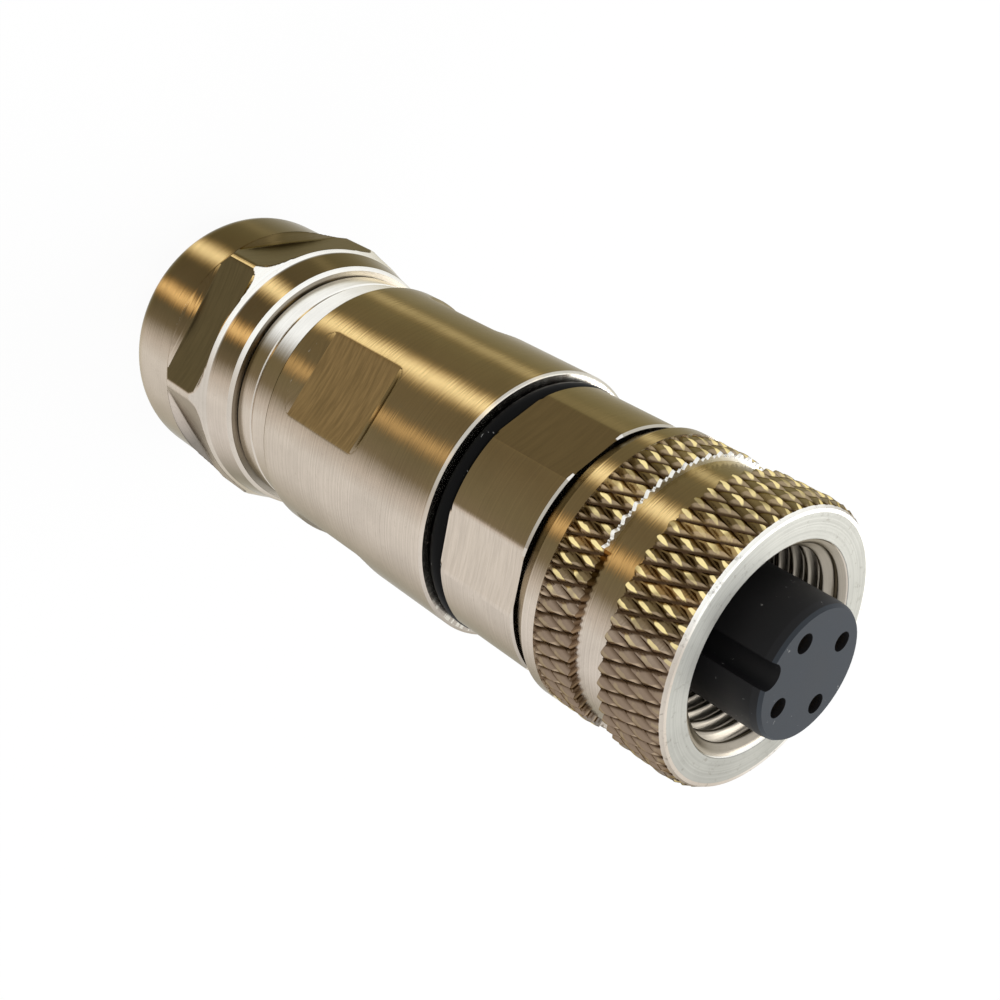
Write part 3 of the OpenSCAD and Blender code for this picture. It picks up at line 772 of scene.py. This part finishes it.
def makeNut(metals):
    n = nut
    r = n["radius"]
    root = r - n["bandDepth"]
    core = root - n["coreDepth"]
    rearKnurl = nutLow + n["rearRim"]
    band = rearKnurl + n["rearKnurl"]
    frontKnurl = band + n["bandLength"]
    flange = shellTop + n["flangeLow"]
    threadLow = nutTop - n["threadLength"]
    mouthDeep = n["mouth"] - n["minor"]
    points = [
        (n["rearBore"], nutLow, 1),
        (r - n["rearChamfer"] * n["rearSlope"], nutLow, 0.3),
        (r, nutLow + n["rearChamfer"], 0.4),
        (r, rearKnurl, 0.5),
        (core, rearKnurl, 1),
        (core, band, 0.5),
        (root, band, 1),
        (root, frontKnurl, 0.5),
        (core, frontKnurl, 1),
        (core, nutTop, 0.5),
        *((n["mouth"] + out, nutTop - down, step) for out, down, step in n["mouthRound"]),
        (n["minor"], nutTop - mouthDeep, 0.07),
        (n["minor"], threadLow, 1),
        (n["relief"], threadLow, 1),
        (n["relief"], flange + n["flangeThick"], 1),
        (n["flangeBore"], flange + n["flangeThick"], 1),
        (n["flangeBore"], flange, 1),
        (n["rearBore"], flange, 1),
    ]
    bm = turned(stepped(points, 1), n["segments"])
    radii = (n["minor"] - slack, n["mouth"] - 2 * slack)
    ends = (threadLow, nutTop - n["threadEnd"])
    cutThread(bm, radii, ends, n["pitch"], n["major"] - n["minor"], nutTop - n["threadPhase"], True)
    for f in bm.faces:
        middle = f.calc_center_median() / mm
        within = math.hypot(middle.x, middle.y) < n["mouth"] - n["mouthEdge"]
        f.material_index = 2 if within else 1 if middle.z > nutTop - n["faceDepth"] else 0
    looks = [metals[label] for label in ("band", "faced", "inner")]
    finishPiece("nutBody", bm, looks, "nut", "nickel_plate", "coupling_nut")
    rearOutline = [(r, rearKnurl, 0.1), (r, band, 1)]
    makeKnurl("rearKnurl", rearKnurl, band, rearOutline, metals)
    chamfer = nutTop - n["chamferLength"]
    frontOutline = [(r, frontKnurl, 0.1), (r, chamfer, 0.08), (r - n["frontChamfer"], nutTop, 1)]
    makeKnurl("frontKnurl", frontKnurl, nutTop, frontOutline, metals)


knurl = {
    "around": 56,
    "tall": 2.56,
    "depth": 0.34,
    "phase": 0.28,
    "perGroove": 12,
    "core": 7.7,
    "rims": {"rearKnurl": (0.16, 90), "frontKnurl": (0.2, 180)},  # width, and the turn at which its painted highlight ends
}


# A turned band into which grooves of both hands are sunk, sharp at the bottom and round on the crests
def makeKnurl(name, low, high, outline, metals):
    k = knurl
    points = stepped([(k["core"], low, 9), *outline, (k["core"], high, 9)], 9)
    bm = turned(points, k["around"] * k["perGroove"])
    top = nut["radius"]
    for v in bm.verts:
        r = math.hypot(v.co.x, v.co.y) / mm
        if r < k["core"] + slack:
            continue
        spot = math.atan2(v.co.y, v.co.x) * k["around"] / (2 * math.pi) - 0.5
        along = (v.co.z / mm - (low + high) / 2) / k["tall"]
        cuts = [math.sin(math.pi * ((spot + hand * (along - k["phase"])) % 1)) for hand in (1, -1)]
        sunk = top - k["depth"] * (1 - min(cuts))
        if r > sunk:
            v.co.x *= sunk / r
            v.co.y *= sunk / r
    # Painted highlight: the end rim takes the tipped pale finish only over the turns up to rimEnd
    rimWidth, rimEnd = k["rims"][name]
    for f in bm.faces:
        middle = f.calc_center_median()
        seen = math.degrees(math.atan2(middle.y, middle.x)) < rimEnd
        f.material_index = 1 if middle.z > (high - rimWidth) * mm and seen else 0
    finishPiece(name, bm, (metals[name], metals["knurlRimPaintedShine"]), "nut", "nickel_plate", sharp=40)


# Front shell with its spanner flats, thread and the tube through the nut
shell = {
    "radius": 8.0,
    "across": 15.5,
    "length": 5.95,
    "chamfer": 0.125,
    "rearChamfer": 0.12,
    "thread": 7.0,
    "threadLength": 6.2,
    "threadChamfer": 0.2,
    "pitch": 1.0,
    "threadDepth": 0.55,
    "threadPhase": 0.2,
    "relief": 6.79,
    "bore": 5.7,
    "wall": 1.2,
    "tube": 5.0,
    "tubeBore": 4.35,
    "tubeChamfer": 0.1,
    "clipDepth": 0.3,
    "clipPlay": 0.02,
    "segments": 360,
}


def makeShell(metal, milled):
    s = shell
    low = shellTop - s["length"]
    threadLow = low - s["threadLength"]
    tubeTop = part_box("front_shell")[1].z / mm
    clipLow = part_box("nut_clip")[0].z / mm - s["clipPlay"]
    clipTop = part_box("nut_clip")[1].z / mm + s["clipPlay"]
    chamfer = s["threadChamfer"]
    points = [
        (s["bore"], threadLow, 1),
        (s["thread"] - chamfer, threadLow, 1),
        (s["thread"], threadLow + chamfer, 0.1),
        (s["thread"], sleeveTop - chamfer, 1),
        (s["relief"], sleeveTop, 1),
        (s["relief"], low, 1),
        (s["radius"] - s["rearChamfer"], low, 0.2),
        (s["radius"], low + s["rearChamfer"], 1),
        (s["radius"], shellTop - s["chamfer"], 0.3),
        (s["radius"] - s["chamfer"], shellTop, 1),
        (s["tube"], shellTop, 1),
        (s["tube"], clipLow, 1),
        (s["tube"] - s["clipDepth"], clipLow, 1),
        (s["tube"] - s["clipDepth"], clipTop, 1),
        (s["tube"], clipTop, 1),
        (s["tube"], tubeTop - s["tubeChamfer"], 1),
        (s["tube"] - s["tubeChamfer"], tubeTop, 1),
        (s["tubeBore"], tubeTop, 1),
        (s["tubeBore"], shellTop - s["wall"], 1),
        (s["bore"], shellTop - s["wall"], 1),
    ]
    bm = turned(stepped(points, 2), s["segments"])
    millFlats(bm, 6, 0, s["across"] / 2, low - 1, shellTop + 1, 0, s["thread"] + 0.3)
    radii = (s["thread"] - slack, s["thread"] + slack)
    ends = (threadLow + chamfer, sleeveTop - chamfer)
    cutThread(bm, radii, ends, s["pitch"], s["threadDepth"], s["threadPhase"], False)
    finishPiece("shellBody", bm, (metal, milled), "shell", "nickel_plate", "front_shell", sharp=8)


# Rear sleeve: lip, four wrench flats and the grooved neck
sleeve = {
    "radius": 8.45,
    "lip": 8.27,
    "lipRound": ((0.06, 0.03, 0.05), (0.0, 0.0, 1)),  # outwards, down, step
    "lipDepth": 0.12,
    "neck": 7.95,
    "neckChamfer": 0.1,
    "neckLength": 3.45,
    "grooveAt": 1.45,
    "groove": 0.28,
    "across": 15.9,
    "flatLength": 8.4,
    "flatAt": 1.25,
    "runout": 1.25,
    "frontThread": 7.05,
    "threadChamfer": 0.2,
    "threadLength": 5.3,
    "chamber": 6.1,
    "seat": 6.6,
    "seatDepth": 1.2,
    "neckThread": 7.0,
    "darkRise": 0.2,  # the neck's material, with a painted top highlight and no painted highlight bands, goes this far up the shoulder
    "segments": 480,
}


def makeSleeve(metals):
    s = sleeve
    shoulder = s["radius"] - s["neck"]
    shoulderLow = sleeveLow + s["neckLength"]
    flats = shoulderLow + s["flatAt"]
    flatTop = flats + s["flatLength"]
    groove = sleeveLow + s["grooveAt"]
    threadLow = sleeveTop - s["threadLength"]
    chamfer = s["threadChamfer"]
    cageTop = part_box("shield_ring")[1].z / mm
    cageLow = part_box("clamp_cage")[1].z / mm - s["seatDepth"]
    points = [
        (s["neckThread"] + chamfer, sleeveLow, 1),
        (s["neck"] - s["neckChamfer"], sleeveLow, 1),
        (s["neck"], sleeveLow + s["neckChamfer"], 1),
        (s["neck"], groove, 1),
        (s["neck"] - s["groove"], groove + s["groove"] / 2, 1),
        (s["neck"], groove + s["groove"], 1),
        *arc(s["neck"], shoulderLow + shoulder, shoulder, -90, 0),
        (s["radius"], flats - slack, 0.1),
        (s["radius"], flats + s["runout"] + slack, 0.6),
        (s["radius"], flatTop - s["runout"] - slack, 0.1),
        (s["radius"], flatTop + slack, 1),
        (s["radius"], sleeveTop - s["lipDepth"], 0.05),
        *((s["lip"] + out, sleeveTop - down, step) for out, down, step in s["lipRound"]),
        (s["frontThread"] + chamfer, sleeveTop, 1),
        (s["frontThread"], sleeveTop - chamfer, 2),
        (s["frontThread"], threadLow, 1),
        (s["chamber"], threadLow, 4),
        (s["chamber"], cageTop, 1),
        (s["seat"], cageTop, 1),
        (s["seat"], cageLow, 1),
        (s["neckThread"], cageLow, 1),
        (s["neckThread"], sleeveLow + chamfer, 1),
    ]
    bm = turned(stepped(points, 2), s["segments"])
    millFlats(bm, 4, 0, s["across"] / 2, flats, flatTop, s["runout"], s["neck"] - slack, 3)
    # Neck faces take the neck material with its painted top highlight
    for f in bm.faces:
        if f.calc_center_median().z < (shoulderLow + s["darkRise"]) * mm and f.normal.z > -0.5:
            f.material_index = 2
    finishPiece("sleeveBody", bm, metals, "sleeve", "nickel_plate", "rear_sleeve", sharp=9)


# Pressing screw: domed head with six flats, cone, land and the thread in front
head = {
    "gap": 0.1,  # to the sleeve
    "radius": 9.4,
    "across": 16.5,
    "turn": 35.2,
    "flatLow": 5.8,
    "flatHigh": 10.3,
    "runout": 0.62,
    "land": 8.9,
    "landLength": 2.05,
    "flare": 1.4,
    "front": 8.2,
    "frontRound": ((0.34, 0.24, 0.1), (0.2, 0.07, 0.1), (0.12, 0.0, 0.5)),  # outwards, down, step
    "rim": 7.4,
    "rimRound": ((-0.08, 0.0, 0.1), (0.04, 0.05, 1)),  # outwards, up, step
    "dome": 8.85,
    "crestRise": 0.9,
    "edge": 2.2,
    "edgeRise": 0.35,
    "edgeStart": -50,
    "entry": 4.0,
    "lead": 1.0,
    "wall": 3.0,
    "thread": 6.95,
    "threadFoot": (0.05, 0.3),
    "threadChamfer": 0.2,
    "pitch": 1.0,
    "threadDepth": 0.5,
    "threadPhase": 0.1,
    "bore": 5.75,
    "segments": 480,
}


def makeHead(metals):
    h = head
    headTop = sleeveLow - h["gap"]
    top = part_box("pressing_screw")[1].z / mm
    land = headTop - h["landLength"]
    footIn, footRise = h["threadFoot"]
    chamfer = h["threadChamfer"]
    points = [
        (h["entry"] + h["lead"], 0, 1),
        *((h["rim"] + out, up, step) for out, up, step in h["rimRound"]),
        *arc(h["dome"] - h["edge"], h["edge"] + h["edgeRise"], h["edge"], h["edgeStart"], 0, 10),
        (h["dome"], h["flatLow"] - slack, 0.08),
        (h["radius"], h["flatLow"] + h["crestRise"], 0.3),
        (h["radius"], land - h["flare"], 0.08),
        (h["land"], land, 0.4),
        *((h["front"] + out, headTop - down, step) for out, down, step in h["frontRound"]),
        (h["thread"] - footIn, headTop, 1),
        (h["thread"], headTop + footRise, 0.1),
        (h["thread"], top - chamfer, 1),
        (h["thread"] - chamfer, top, 1),
        (h["bore"], top, 4),
        (h["bore"], h["wall"], 1),
        (h["entry"], h["wall"], 1),
        (h["entry"], h["lead"], 0.5),
    ]
    bm = turned(stepped(points, 2), h["segments"])
    within = h["thread"] + 2 * slack
    millFlats(bm, 6, h["turn"], h["across"] / 2, h["flatLow"], h["flatHigh"], h["runout"], within, 2)
    radii = (h["thread"] - slack, h["thread"] + slack)
    ends = (headTop + footRise, top - chamfer)
    cutThread(bm, radii, ends, h["pitch"], h["threadDepth"], h["threadPhase"], False)
    for f in bm.faces:
        if f.normal.z > 0.95 and f.calc_center_median().z < (headTop + slack) * mm:
            f.material_index = 3
    finishPiece("screwBody", bm, metals, "screw", "nickel_plate", "pressing_screw", sharp=9)


# Materials of the nodes that stay as the solids give them
def dressNodes(looks):
    slots = {row["node"]: row["material_slot"] for row in frame["record"]["subparts"]}
    for name, node in frame["nodes"].items():
        material = looks[slots[name]]
        if not node.material_slots:
            node.data.materials.append(material)
        for seat in node.material_slots:
            seat.material = material
    print("nodes dressed")


# Floor, world and lamps; metal sees the floor and the world as white, as the camera does
studio = {
    "floorSize": 3.0,
    "floor": (0.9, 0.9, 0.9),
    "floorGlow": 0.95,
    "worldLight": 0.7,
    "aimHeight": 25,
}


def seenRays(tree):
    path = put(tree, "ShaderNodeLightPath")
    seen = calc(tree, "MAXIMUM", path.outputs["Is Camera Ray"], path.outputs["Is Glossy Ray"])
    return calc(tree, "MAXIMUM", seen, path.outputs["Is Transmission Ray"])


def makeFloor():
    bm = bmesh.new()
    bmesh.ops.create_grid(bm, x_segments=1, y_segments=1, size=studio["floorSize"])
    mesh = bpy.data.meshes.new("studioFloor")
    bm.to_mesh(mesh)
    bm.free()
    floor = bpy.data.objects.new("studioFloor", mesh)
    bpy.context.collection.objects.link(floor)
    material, tree, shader = newMaterial("studioFloor")
    shader.inputs["Base Color"].default_value = (*studio["floor"], 1)
    shader.inputs["Roughness"].default_value = 0.9
    glow = put(tree, "ShaderNodeEmission", {"Color": (1, 1, 1, 1), "Strength": 1.0})
    mix = put(tree, "ShaderNodeMixShader")
    tree.links.new(calc(tree, "MULTIPLY", seenRays(tree), studio["floorGlow"]), mix.inputs[0])
    tree.links.new(shader.outputs[0], mix.inputs[1])
    tree.links.new(glow.outputs[0], mix.inputs[2])
    tree.links.new(mix.outputs[0], tree.nodes["Material Output"].inputs["Surface"])
    mesh.materials.append(material)


def makeWorld():
    world = bpy.data.worlds.new("studioWorld")
    bpy.context.scene.world = world
    world.use_nodes = True
    tree = world.node_tree
    background = tree.nodes["Background"]
    background.inputs["Color"].default_value = (1, 1, 1, 1)
    strength = ramp(tree, seenRays(tree), 0.0, 1.0, studio["worldLight"], 1.0)
    tree.links.new(strength, background.inputs["Strength"])
    print("floor and world set")


lamps = {
    "key": {
        "turn": -60.0, "height": 55.0, "distance": 0.45, "size": (0.3, 0.3),
        "power": 1.0, "mirrored": True,
    },
    "lowerSide": {
        "turn": 188.0, "height": 22.0, "distance": 0.4, "size": (0.3, 0.2),
        "power": 0.6, "mirrored": False,
    },
}


def makeLamps():
    aim = Vector((0, 0, studio["aimHeight"] * mm))
    for name, lamp in lamps.items():
        data = bpy.data.lights.new(name, "AREA")
        data.shape = "RECTANGLE"
        data.size, data.size_y = lamp["size"]
        data.energy = lamp["power"]
        seat = bpy.data.objects.new(name, data)
        bpy.context.collection.objects.link(seat)
        turn, height = math.radians(lamp["turn"]), math.radians(lamp["height"])
        level = math.cos(height)
        away = Vector((math.cos(turn) * level, math.sin(turn) * level, math.sin(height)))
        seat.location = aim + away * lamp["distance"]
        seat.visible_glossy = lamp["mirrored"]
        seat.rotation_mode = "QUATERNION"
        seat.rotation_quaternion = away.to_track_quat("Z", "Y")
    print("lamps set")


makeCamera()
groups = {"paintedRoomReflection": paintedReflectionGroup(), "machining": machiningGroup(), "paintedKnurlLight": paintedKnurlLightGroup()}
nickel = makeNickel(groups)
milled = {name: milledMaterial(name, groups) for name in milledLooks}
plastic = {name: plasticMaterial(name, groups) for name in plasticLooks}
print("materials made,", len(bpy.data.materials))
dressNodes({
    "nickel_plate": nickel["inner"],
    "gold_plate": goldMaterial(groups),
    "insert_plastic": plastic["insertPlastic"],
    "clamp_plastic": plastic["clampPlastic"],
    "seal_rubber": plastic["sealRubber"],
})
makeNut(nickel)
makeShell(nickel["shell"], milled["shellFlat"])
makeSleeve([nickel["turned"], milled["sleeveFlat"], nickel["neck"], nickel["sleeveRound"]])
makeHead([nickel["head"], milled["headFlat"], nickel["headRound"], nickel["inner"]])
makeFloor()
makeWorld()
makeLamps()
bpy.context.scene.view_settings.view_transform = "Standard"
